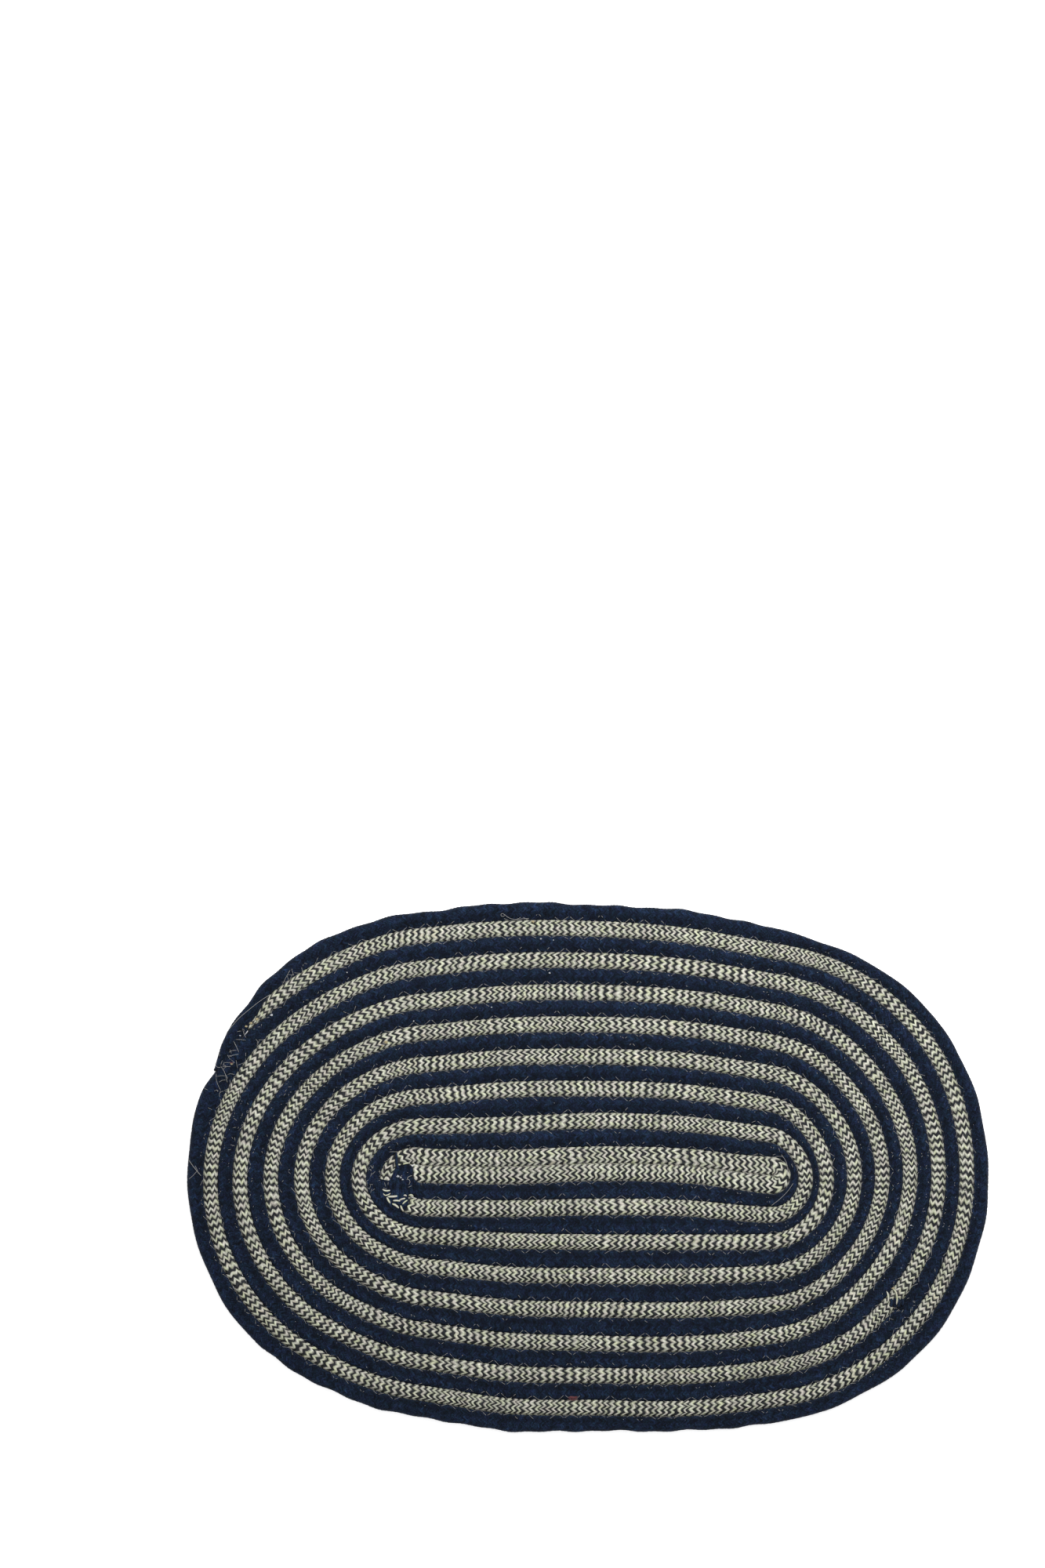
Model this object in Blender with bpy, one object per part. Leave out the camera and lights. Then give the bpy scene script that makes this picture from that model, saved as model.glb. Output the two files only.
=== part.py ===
"""Oval braided rug, navy and cream: two plaited cords coiled side by side from the middle out.

The rug is a stadium-shaped spiral. A short core line lies in the middle, and the cords run along its
lower side, round its right end, back along its upper side and round its left end, turn after turn.
Eighteen places round the oval (see PLACES) say how far out each turn begins there. Between them the
turns run smoothly, so every row keeps the uneven width that hand coiling gives it.

Metres, +Z up, the rug lies flat on Z = 0 with its long axis along X.
"""

import math

import bmesh
import bpy
import numpy as np

MM = 0.001

THICKNESS = 8.5 * MM
FIRST_TWEED_WIDTH = 12.9 * MM  # on its first turn, which is coiled more loosely
FOLD_SPREAD = 0.8 * MM  # how much wider still its first fold is, at the right end
TWEED_WIDTH = 11.5 * MM
GAP = 0.3 * MM  # between one row and the next

# The core line that the coil is wound on.
CORE_X = 5.6 * MM  # its middle
CORE_Y = -7.0 * MM
CORE_HALF = 132.1 * MM

# The places round the oval. The first column says where along the core a place lies, from -1 at its
# left end to 1 at its right end, and the second the angle straight out from it in degrees. The others
# say how far from the core line the tweed cord's inner edge lies, in mm, on turns 0, 1, 2, 5, 7 and 8.
# Turn 8 is the rug's outer edge, as is turn 7 on the left from 180 degrees on.
TURNS = (0, 1, 2, 5, 7, 8)
PLACES = (
    # core, angle,  turn 0,     1,     2,      5,      7,      8
    (0.0, -90, -9.0, 17.6, 44.5, 120.8, 169.2, 192.2),  # below the core's middle
    (0.5, -90, -7.4, 18.6, 44.6, 121.3, 169.9, 192.1),
    (1.0, -90, 0.3, 23.9, 44.0, 115.2, 163.0, 186.3),  # below its right end
    (1.0, -45, 0.4, 21.5, 39.0, 100.5, 147.6, 170.8),
    (1.0, 0, 0.6, 19.2, 34.9, 97.6, 140.0, 161.9),  # the right end, level
    (1.0, 45, 0.4, 19.1, 37.0, 102.8, 149.6, 172.9),
    (1.0, 90, 0.3, 25.2, 48.2, 118.6, 164.2, 188.0),  # above its right end
    (0.5, 90, 7.5, 33.3, 57.5, 129.0, 176.3, 202.2),
    (0.0, 90, 9.1, 35.8, 60.0, 132.9, 181.2, 205.7),  # above its middle
    (-0.5, 90, 6.5, 32.9, 59.2, 132.2, 181.5, 206.9),
    (-1.0, 90, 7.5, 31.6, 54.0, 126.0, 175.8, 199.6),  # above its left end
    (-1.0, 112.5, 9.6, 31.9, 53.4, 121.1, 167.6, 192.6),
    (-1.0, 135, 12.1, 34.6, 55.5, 121.7, 166.5, 187.4),
    (-1.0, 180, 17.1, 39.8, 59.6, 128.7, 172.9, 172.9),  # the left end, level
    (-1.0, 225, 18.1, 39.0, 58.5, 127.9, 175.0, 175.0),
    (-1.0, 247.5, 16.8, 38.4, 58.5, 127.4, 174.8, 174.8),
    (-1.0, 270, 18.2, 39.8, 62.3, 134.3, 181.7, 181.7),  # below its left end
    (-0.5, 270, 18.8, 43.4, 68.8, 143.6, 192.3, 192.3),
)
PER_TURN = len(PLACES)
BEFORE_START = (-7.4, -7.4, -7.4, -6.4)  # mm, the middle seam at the four places before turn 0
STEPS = (2, 2, 4, 4, 4, 4, 2, 2, 2, 2, 2, 4, 8, 4, 2, 2, 2, 2)  # stations from each place to the next

# Where the rows leave that smooth run: s, then how many mm further out they lie.
TAIL_SEAM = (  # the seam beyond the tweed's outer end, and the rug's edge beyond the navy's
    (138.0, 0.0),
    (138.125, 2.6),
    (138.25, 2.3),
    (138.375, 2.0),
    (138.5, 6.6),
    (138.625, 4.8),
    (138.75, 3.2),
    (138.875, 1.6),
    (139.0, 0.3),
    (139.125, 0.0),
)
RUG_EDGE = (  # the outermost row's outer edge
    (128.0, 0.0),
    (128.25, -2.0),
    (128.5, -1.2),
    (128.75, 0.8),
    (129.0, 0.0),
    (130.25, 0.0),
    (130.5, -1.0),
    (130.75, -2.2),
    (131.0, -0.8),
    (131.25, -1.8),
    (131.5, -3.2),
    (131.75, -2.8),
    (132.0, 0.0),
    (133.5, -1.0),
    (134.5, 0.0),
    (137.25, 0.0),
    (137.75, -2.8),
    (138.0, -4.6),
    (138.125, -4.0),
    (138.25, -4.6),
    (138.375, -7.8),
)

# A cord's section: across its width from inner to outer edge, and up its thickness.
SECTION = (
    (0.20, 0.00),
    (0.00, 0.25),
    (0.00, 0.66),
    (0.20, 0.96),
    (0.50, 1.00),
    (0.80, 0.96),
    (1.00, 0.66),
    (1.00, 0.25),
    (0.80, 0.00),
)

# Where the cords begin and end, counted in places from the start of turn 0.
TWEED_START = -2.08
FIRST_FOLD = (1.5, 2.0, 6.0, 6.5)  # where it begins to spread, is spread, until where, and ends
FIRST_WIDTH_UNTIL = 14.4
TWEED_WIDTH_FROM = 21.6
TWEED_TAIL = (  # how wide it still is near its outer end, as a share
    (137.625, 1.0),
    (137.75, 0.97),
    (137.875, 0.78),
    (138.0, 0.50),
    (138.07, 0.33),
    (138.1, 0.10),
    (138.15, 0.0),
)
TWEED_END = 138.1
NAVY_START = -2.0
NAVY_END = 138.39
CUT_LENGTH = 0.036  # how far before the cut the tweed is still full, in places
CUT_HEIGHT = 0.62  # of its full thickness at the cut
CUT_INSET = 0.15  # and of its full width, drawn in on each side

# The navy cord's folded beginning, left of the tweed's: X, then its upper and lower edge from the
# core line, in mm, and its height as a share of the thickness.
NAVY_KNOT = (
    (-142.2, 5.2, 7.0, 0.55),
    (-140.2, -4.6, 10.0, 0.85),
    (-136.8, -6.6, 12.4, 1.00),
    (-134.5, -6.6, 13.8, 1.00),
    (-133.5, 6.2, 14.8, 1.00),
)


def edge_at_knots():
    """The tweed's inner edge at every place of every turn, from four places before the start."""
    known = [
        np.interp(turn, TURNS, place[2:])
        for turn in range(TURNS[-1] + 1)
        for place in PLACES
    ]
    return np.array([*BEFORE_START, *known]) * MM


EDGE_KNOTS = edge_at_knots()


def read(table, s):
    """The second column of a table, read between its rows at s in the first."""
    return float(np.interp(s, *zip(*table)))


def inner_edge(s):
    """A smooth (Catmull-Rom) curve through the knots; s counts places from the start of turn 0."""
    at = s + len(BEFORE_START)
    i = min(max(math.floor(at), 1), len(EDGE_KNOTS) - 3)
    t = at - i
    before, here, after, beyond = EDGE_KNOTS[i - 1 : i + 3]
    slope = (after - before) / 2
    next_slope = (beyond - here) / 2
    rise = after - here
    curve = here + t * (slope + t * (3 * rise - 2 * slope - next_slope
                                     + t * (slope + next_slope - 2 * rise)))
    return curve + read(TAIL_SEAM, s) * MM


def core_point(s):
    """The core point at s and the direction straight out from it, as (x, y) pairs."""
    if s < 0:  # a cord's beginning may run straight on past the core's left end
        share, degrees = s * PLACES[1][0], -90
    else:
        shares, angles = zip(*[place[:2] for place in PLACES], (0.0, 270))
        share = np.interp(s % PER_TURN, range(PER_TURN + 1), shares)
        degrees = np.interp(s % PER_TURN, range(PER_TURN + 1), angles)
    angle = math.radians(degrees)
    return (CORE_X + CORE_HALF * share, CORE_Y), (math.cos(angle), math.sin(angle))


def stations(start, end):
    """Every station between start and end, closer together where the coil turns sharply."""
    found = {start, end}
    for place in range(math.floor(start), math.ceil(end)):
        steps = STEPS[place % PER_TURN]
        found |= {place + k / steps for k in range(steps)}
    return sorted(s for s in found if start <= s <= end)


def tweed_width(s):
    """The tweed is wider on its first turn, and draws in to nothing at its outer end."""
    full = np.interp(s, (FIRST_WIDTH_UNTIL, TWEED_WIDTH_FROM), (FIRST_TWEED_WIDTH, TWEED_WIDTH))
    spread = FOLD_SPREAD * np.interp(s, FIRST_FOLD, (0, 1, 1, 0))
    return float(full + spread) * read(TWEED_TAIL, s)


def section_at(s, inner, outer, height=1.0):
    """One closed ring of points: SECTION between two distances from the core point at s."""
    (x, y), (dx, dy) = core_point(s)
    ring = []
    for across, up in SECTION:
        out = inner + across * (outer - inner)
        ring.append((x + dx * out, y + dy * out, THICKNESS * up * height))
    return ring


def tweed_rings():
    """The tweed's sections from its cut start to its drawn-in end."""
    rings = []
    for s in stations(TWEED_START + CUT_LENGTH, TWEED_END):
        inner = inner_edge(s) + GAP / 2
        outer = inner_edge(s) + tweed_width(s) - GAP / 2
        rings.append(section_at(s, inner, outer))
    inner = inner_edge(TWEED_START) + FIRST_TWEED_WIDTH * CUT_INSET
    outer = inner_edge(TWEED_START) + FIRST_TWEED_WIDTH * (1 - CUT_INSET)
    return [section_at(TWEED_START, inner, outer, CUT_HEIGHT)] + rings


def navy_rings():
    """The navy's sections: it fills the room between one turn of tweed and the next."""
    rings = []
    for x, upper, lower, height in NAVY_KNOT:
        s = (x * MM - CORE_X) / CORE_HALF / PLACES[1][0]
        rings.append(section_at(s, upper * MM, lower * MM, height))
    for s in stations(NAVY_START, NAVY_END):
        inner = inner_edge(s) + tweed_width(s) + GAP / 2
        outer = inner_edge(s + PER_TURN) + read(RUG_EDGE, s) * MM - GAP / 2
        rings.append(section_at(s, inner, outer))
    return rings


def make_cord(name, rings, colour, collection):
    """A closed solid through the rings, capped at both ends."""
    mesh = bpy.data.meshes.new(name)
    build = bmesh.new()
    rows = [[build.verts.new(point) for point in ring] for ring in rings]
    sides = len(SECTION)
    for near, far in zip(rows, rows[1:]):
        for k in range(sides):
            after = (k + 1) % sides
            build.faces.new((near[k], near[after], far[after], far[k]))
    build.faces.new(rows[0])
    build.faces.new(rows[-1])
    bmesh.ops.recalc_face_normals(build, faces=build.faces)
    build.to_mesh(mesh)
    build.free()
    mesh.shade_smooth()
    mesh.set_sharp_from_angle(angle=math.radians(50))
    cord = bpy.data.objects.new(name, mesh)
    collection.objects.link(cord)
    material = bpy.data.materials.new(name)
    material.use_nodes = True
    shader = material.node_tree.nodes["Principled BSDF"]
    shader.inputs["Base Color"].default_value = (*colour, 1.0)
    shader.inputs["Roughness"].default_value = 0.9
    mesh.materials.append(material)
    return cord


for left_over in list(bpy.data.objects):
    bpy.data.objects.remove(left_over)

rug = bpy.data.collections.new("braided_rug")
bpy.context.scene.collection.children.link(rug)
make_cord("tweed_braid", tweed_rings(), (0.42, 0.40, 0.28), rug)
make_cord("navy_braid", navy_rings(), (0.008, 0.016, 0.045), rug)
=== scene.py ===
import math

import bpy
import numpy as np
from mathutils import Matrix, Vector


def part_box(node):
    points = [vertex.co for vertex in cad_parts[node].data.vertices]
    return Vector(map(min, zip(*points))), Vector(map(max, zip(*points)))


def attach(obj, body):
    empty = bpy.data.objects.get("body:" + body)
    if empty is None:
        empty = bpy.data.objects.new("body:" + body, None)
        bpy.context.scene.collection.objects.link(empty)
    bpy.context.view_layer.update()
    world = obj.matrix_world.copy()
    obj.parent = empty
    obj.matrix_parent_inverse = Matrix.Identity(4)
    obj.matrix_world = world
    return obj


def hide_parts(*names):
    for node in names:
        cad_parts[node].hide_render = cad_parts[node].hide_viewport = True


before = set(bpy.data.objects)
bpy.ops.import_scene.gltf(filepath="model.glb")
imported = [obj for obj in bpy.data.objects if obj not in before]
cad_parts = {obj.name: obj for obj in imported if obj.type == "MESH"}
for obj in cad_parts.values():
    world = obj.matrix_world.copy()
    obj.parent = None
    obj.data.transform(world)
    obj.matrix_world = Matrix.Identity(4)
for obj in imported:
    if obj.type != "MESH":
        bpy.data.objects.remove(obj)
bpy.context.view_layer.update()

# The coil.
# Two plaited cords, one cream and charcoal and one navy, are wound side by side from the middle out
# and sewn row to row. They go round a short core line, first along its lower side and then round
# its right end. Eighteen places a turn say how far out a row lies.
MM = 0.001
CORE_X = 5.6 * MM  # the core line's middle
CORE_Y = -7.0 * MM
CORE_HALF = 132.1 * MM
RUG_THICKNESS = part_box("tweed_braid")[1][2]
FIRST_TWEED_WIDTH = 12.9 * MM  # on its first turn, which is coiled more loosely
FOLD_SPREAD = 0.8 * MM  # how much wider still its first fold is
TWEED_WIDTH = 11.5 * MM
TURNS = (0, 1, 2, 5, 7, 8)
PLACES = np.array([
    # place along the core, angle out from it, mm from it to the tweed's inner edge on turns
    # core, angle,   0,     1,     2,      5,      7,      8
    (0.0, -90, -9.0, 17.6, 44.5, 120.8, 169.2, 192.2),  # below the core's middle
    (0.5, -90, -7.4, 18.6, 44.6, 121.3, 169.9, 192.1),
    (1.0, -90, 0.3, 23.9, 44.0, 115.2, 163.0, 186.3),  # below its right end
    (1.0, -45, 0.4, 21.5, 39.0, 100.5, 147.6, 170.8),
    (1.0, 0, 0.6, 19.2, 34.9, 97.6, 140.0, 161.9),  # the right end, level
    (1.0, 45, 0.4, 19.1, 37.0, 102.8, 149.6, 172.9),
    (1.0, 90, 0.3, 25.2, 48.2, 118.6, 164.2, 188.0),  # above its right end
    (0.5, 90, 7.5, 33.3, 57.5, 129.0, 176.3, 202.2),
    (0.0, 90, 9.1, 35.8, 60.0, 132.9, 181.2, 205.7),  # above its middle
    (-0.5, 90, 6.5, 32.9, 59.2, 132.2, 181.5, 206.9),
    (-1.0, 90, 7.5, 31.6, 54.0, 126.0, 175.8, 199.6),  # above its left end
    (-1.0, 112.5, 9.6, 31.9, 53.4, 121.1, 167.6, 192.6),
    (-1.0, 135, 12.1, 34.6, 55.5, 121.7, 166.5, 187.4),
    (-1.0, 180, 17.1, 39.8, 59.6, 128.7, 172.9, 172.9),  # the left end, level
    (-1.0, 225, 18.1, 39.0, 58.5, 127.9, 175.0, 175.0),
    (-1.0, 247.5, 16.8, 38.4, 58.5, 127.4, 174.8, 174.8),
    (-1.0, 270, 18.2, 39.8, 62.3, 134.3, 181.7, 181.7),  # below its left end
    (-0.5, 270, 18.8, 43.4, 68.8, 143.6, 192.3, 192.3),
])
PER_TURN = len(PLACES)
BEFORE_START = (-7.4, -7.4, -7.4, -6.4)  # mm, the middle seam at the four places before turn 0
TWEED_START = -2.08  # in places from the start of turn 0
FIRST_FOLD = (1.5, 2.0, 6.0, 6.5)  # where it begins to spread, is spread, until where, and ends
NARROWING = (14.4, 21.6)  # where the tweed goes from its first width to its width
TWEED_END = 138.1
NAVY_START = -2.0
NAVY_END = 138.39
TWEED_TAIL = np.array([
    # s, how wide the tweed still is near its outer end, as a share
    (137.625, 1.0),
    (137.75, 0.97),
    (137.875, 0.78),
    (138.0, 0.50),
    (138.07, 0.33),
    (138.1, 0.10),
    (138.15, 0.0),
])
TAIL_SEAM = np.array([
    # s, mm: how much further out the last seam lies, and then the rug's edge
    (138.0, 0.0),
    (138.125, 2.6),
    (138.25, 2.3),
    (138.375, 2.0),
    (138.5, 6.6),
    (138.625, 4.8),
    (138.75, 3.2),
    (138.875, 1.6),
    (139.0, 0.3),
    (139.125, 0.0),
])
RUG_EDGE = np.array([
    # s, mm: how much further out the outermost row's outer edge lies
    (128.0, 0.0),
    (128.25, -2.0),
    (128.5, -1.2),
    (128.75, 0.8),
    (129.0, 0.0),
    (130.25, 0.0),
    (130.5, -1.0),
    (130.75, -2.2),
    (131.0, -0.8),
    (131.25, -1.8),
    (131.5, -3.2),
    (131.75, -2.8),
    (132.0, 0.0),
    (133.5, -1.0),
    (134.5, 0.0),
    (137.25, 0.0),
    (137.75, -2.8),
    (138.0, -4.6),
    (138.125, -4.0),
    (138.25, -4.6),
    (138.375, -7.8),
])
ROW_SOFTNESS = 6 * MM  # a row bends no more sharply than this
EDGE_STEP = 0.01  # how finely its edge is worked out, in places


def core_at(s):
    """The core point at each s and the angle straight out from it, read along PLACES. Before the
    first place the point slides straight on along the core's lower side."""
    turn = np.arange(PER_TURN + 1)
    share = np.interp(s % PER_TURN, turn, np.append(PLACES[:, 0], PLACES[0, 0]))
    degrees = np.interp(s % PER_TURN, turn, np.append(PLACES[:, 1], 270.0))
    share = np.where(s < 0, s * PLACES[1, 0], share)
    degrees = np.where(s < 0, -90.0, degrees)
    return CORE_X + CORE_HALF * share, np.radians(degrees)


def spot(s, out):
    """x and y of the point that lies out metres from the core at s."""
    x, angle = core_at(s)
    return x + np.cos(angle) * out, CORE_Y + np.sin(angle) * out


def along(x, y):
    """The distance run along a line of points, from its first point to each."""
    return np.concatenate([[0.0], np.cumsum(np.hypot(np.diff(x), np.diff(y)))])


def smoothed(values, reach):
    """Evenly spaced values, averaged with a bell curve that is reach samples wide."""
    half = int(3 * reach)
    bell = np.exp(-0.5 * (np.arange(-half, half + 1) / reach) ** 2)
    return np.convolve(np.pad(values, half, mode="edge"), bell / bell.sum(), "valid")


def read(table, s):
    """The second column of a table, read between its rows at s in the first."""
    return np.interp(s, table[:, 0], table[:, 1])


def softened_edge():
    """The tweed's inner edge along the coil: a Catmull-Rom curve through the places, evened out."""
    turns = [[np.interp(turn, TURNS, row[2:]) for row in PLACES] for turn in range(TURNS[-1] + 1)]
    first = len(BEFORE_START)
    knots = np.concatenate([BEFORE_START, np.ravel(turns)]) * MM
    s = np.arange(-first, len(knots) - first - 2.0, EDGE_STEP)
    i = np.clip(np.floor(s + first).astype(int), 1, len(knots) - 3)
    t = s + first - i
    before, here, after, beyond = (knots[i + k] for k in (-1, 0, 1, 2))
    slope, next_slope, rise = (after - before) / 2, (beyond - here) / 2, after - here
    bend = 3 * rise - 2 * slope - next_slope + t * (slope + next_slope - 2 * rise)
    out = here + t * (slope + t * bend) + read(TAIL_SEAM, s) * MM
    run = along(*spot(s, out + TWEED_WIDTH / 2))
    even = np.arange(0.0, run[-1], MM)
    soft = smoothed(np.interp(even, run, out), ROW_SOFTNESS / MM)
    return s, np.interp(run, even, soft)


EDGE_S, EDGE_OUT = softened_edge()


def edge_at(s):
    """How far out the tweed's inner edge lies at s."""
    return np.interp(s, EDGE_S, EDGE_OUT)


def tweed_width_at(s):
    """The tweed is wider on its first turn, and widest in its first fold. It draws in to nothing at
    its outer end."""
    full = np.interp(s, NARROWING, (FIRST_TWEED_WIDTH, TWEED_WIDTH))
    full = full + FOLD_SPREAD * np.interp(s, FIRST_FOLD, (0, 1, 1, 0))
    return full * read(TWEED_TAIL, s)


# The tweed braid.
# A flat braid of thick cream cotton yarn and thinner charcoal yarn. Each yarn crosses the braid in
# short floats that lean one way and then the other, so the two colours run across it in zigzags.
LEGS = 14  # floats round the braid, each leaning the other way than its neighbours
SECTION_ROUNDNESS = 2.5  # 2 is an ellipse, more is squarer
ZIGZAG = 1.35 * MM  # how far a float's ends lie ahead of and behind its middle
EDGE_LEAN = 1.3  # how many times as far at the braid's edges
MISS = 0.36 * MM  # how far a float's end misses its place, by chance
DRIFTING_LEAN = 0.7 * MM  # how far a zigzag leans along the row at the braid's edges, in drifts
DRIFTING_BOW = 0.6 * MM  # and how far it bows
ZIGZAG_DRIFT = 0.12  # how much its reach differs in drifts, as a share
HEIGHT_DRIFT = 0.012  # how much the braid's height differs in drifts, as a share
SQUARE_END = 3 * MM  # the stretch before a cut end where the zigzag fades out
FIRST_NAVY = 15.9  # up to here tweed meets tweed on the inner side, pressed together instead
PAIR_PITCH = 5.1 * MM  # one cream yarn and one charcoal yarn, along the braid
PITCH_CHANCE = 0.10  # how much pairs differ in pitch by chance, as a share
PITCH_DRIFT = 0.08  # and in drifts
GROOVE_CHANCE = 0.03  # how much the place of a groove differs, as a share of a pair
FINE_STEPS = 400  # points in each place where the run along a row is measured
DRAWN_IN = 0.05 * MM  # how far the sewing draws each edge of the braid in
DRAWN_AT_ENDS = 0.5 * MM  # how much more round the rug's ends
GROOVE = 0.227  # from the charcoal yarn's middle to its edge, as a share of a pair
# Where in a pair the skin has its rings: the charcoal yarn's middle, a groove, the cream yarn and
# a groove again. The relief is how far the skin stands out there.
STATIONS = np.array([0.0, GROOVE, 0.37, 0.50, 0.63, 1 - GROOVE])
TWEED_RELIEF = np.array([0.0, -0.44, 0.26, 0.46, 0.26, -0.44]) * MM  # at a float's middle
TWEED_CORNER = np.array([-0.14, -0.50, -0.02, 0.28, 0.48, -0.32]) * MM  # at its end that lies ahead
FULL_RELIEF = 4 * MM  # half the row's width from which its yarns stand this high
RELIEF_CHANCE = 0.15  # how much it differs by chance, as a share
EDGE_SHARE = 0.25  # of half the row's width, where the yarns stand out more as they turn back
EDGE_SWELL = 0.2  # how much more there, as a share
LOWEST = 0.02 * MM  # how far above the floor the skin stays
SECTION_STEPS = 4000  # points round the section where its run is measured


def drawn_in(s):
    """How far the sewing draws each edge of the braid in at s. It goes by the cosine of the angle
    out from the core, so it is most where the rows run straight up."""
    return DRAWN_IN + DRAWN_AT_ENDS * np.abs(np.cos(core_at(s)[1]))


def section_points(samples):
    """Points round a unit section, at samples floats from the float on top: a superellipse cut into
    LEGS stretches of equal length. Returns across and up (-1 to 1) and the outward normal."""
    turn = np.linspace(0, 2 * np.pi, SECTION_STEPS + 1)
    across = np.sign(np.sin(turn)) * np.abs(np.sin(turn)) ** (2 / SECTION_ROUNDNESS)
    up = np.sign(np.cos(turn)) * np.abs(np.cos(turn)) ** (2 / SECTION_ROUNDNESS)
    half_width, half_height = TWEED_WIDTH / 2, RUG_THICKNESS / 2
    run = along(across * half_width, up * half_height)
    at = (np.asarray(samples) - 0.5) / LEGS % 1.0 * run[-1]
    across, up = np.interp(at, run, across), np.interp(at, run, up)
    steep = SECTION_ROUNDNESS - 1
    nx = np.sign(across) * np.abs(across) ** steep / half_width
    nz = np.sign(up) * np.abs(up) ** steep / half_height
    size = np.hypot(nx, nz)
    return across, up, nx / size, nz / size


def wander(rng, count, reach, amount):
    """count values that drift about zero: random numbers smoothed over reach, amount strong."""
    drift = smoothed(rng.standard_normal(count + int(8 * reach)), reach)[:count]
    return drift * amount * math.sqrt(2 * math.sqrt(math.pi) * reach)


def braid_stations(rng, length, phases, pitch):
    """Where each station lies along the braid, and how many pairs it holds. Pairs differ in pitch,
    by chance and in drifts, and grooves differ in their place within a pair."""
    count = round(length / pitch)
    widths = np.exp(PITCH_CHANCE * rng.standard_normal(count) + wander(rng, count, 4, PITCH_DRIFT))
    ends = np.concatenate([[0], np.cumsum(widths)]) * length / widths.sum()
    share = phases[None, :] + GROOVE_CHANCE * rng.standard_normal((count, len(phases)))
    share[:, 0] = 0
    at = ends[:-1, None] + np.diff(ends)[:, None] * share
    return np.append(at.ravel(), ends[-1]), count


def braid(rng, start, end, inner_of, outer_of, phases, relief, corner, pitch, height_of):
    """The braid's skin as a grid of points, stations along it by samples round it, with its U and
    V, and how far along the braid each station lies.

    A point starts on the section between the two edges, slides along the braid by the zigzag of its
    place round it, and is pushed out by the relief of its yarn. A yarn stands highest on the outer
    side of each corner that it turns, so corner is mirrored where the zigzag points back. U counts
    pairs and V counts floats."""
    upper = np.arange(-3, 4)
    samples = np.sort(np.concatenate([np.arange(-3, LEGS - 3), upper + 0.5]))
    across, up, nx, nz = section_points(samples)
    s = np.linspace(start, end, int((end - start) * FINE_STEPS))
    run = along(*spot(s, (inner_of(s) + outer_of(s)) / 2))
    at, pairs = braid_stations(rng, run[-1], phases, pitch)
    count = len(at)
    pair = np.append(np.repeat(np.arange(pairs), len(phases)), pairs)
    # The zigzag, with ends that miss their place a little, alike for the stations of one pair. At
    # the row's edges a yarn lies nearly along the row as it turns back.
    whole = samples == np.round(samples)
    turn = np.where(whole, np.where(samples % 2 == 0, 1.0, -1.0), 0.0)
    reach = np.where(np.abs(samples) == 3, EDGE_LEAN, 1.0)
    strength = 1 + wander(rng, pairs + 1, 4, ZIGZAG_DRIFT)[pair]
    miss = rng.standard_normal((pairs + 1, len(samples))) * MISS
    lean = wander(rng, pairs + 1, 6, DRIFTING_LEAN)[pair][:, None] * across
    bow = wander(rng, pairs + 1, 6, DRIFTING_BOW)[pair][:, None] * across**2
    slide = ZIGZAG * strength[:, None] * turn * reach + miss[pair] + lean + bow
    fade = np.clip(np.minimum(at, run[-1] - at) / SQUARE_END, 0, 1)
    place = np.interp(at[:, None] + slide * fade[:, None], run, s)
    inner, outer = inner_of(place), outer_of(place)
    middle, half = (inner + outer) / 2, (outer - inner) / 2
    height = height_of(place) * (1 + wander(rng, count, 30, HEIGHT_DRIFT))[:, None]
    back = np.roll(corner[::-1], 1)
    profile = np.where(whole, np.where(turn > 0, corner[:, None], back[:, None]), relief[:, None])
    push = np.concatenate([np.tile(profile, (pairs, 1)), profile[:1]])
    push = push * (1 + RELIEF_CHANCE * rng.standard_normal((pairs + 1, len(samples))))[pair]
    turning_back = np.clip((np.abs(across) - (1 - EDGE_SHARE)) / EDGE_SHARE, 0, 1)
    push = push * (1 + EDGE_SWELL * turning_back)
    push = push * np.clip(half / FULL_RELIEF, 0, 1)
    out = middle + across * half + nx * push
    z = height * (1 + up) / 2 + nz * push
    x, y = spot(place, out)
    points = np.stack([x, y, np.maximum(z, LOWEST)], -1)
    u = np.append((np.arange(pairs)[:, None] + phases).ravel(), pairs)
    return points, u, samples, at


def linear(colour):
    """An sRGB hex colour as linear red, green, blue and an alpha of 1."""
    parts = np.array([int(colour[i : i + 2], 16) for i in (1, 3, 5)]) / 255
    bright = ((parts + 0.055) / 1.055) ** 2.4
    return (*np.where(parts <= 0.04045, parts / 12.92, bright).tolist(), 1.0)


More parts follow.
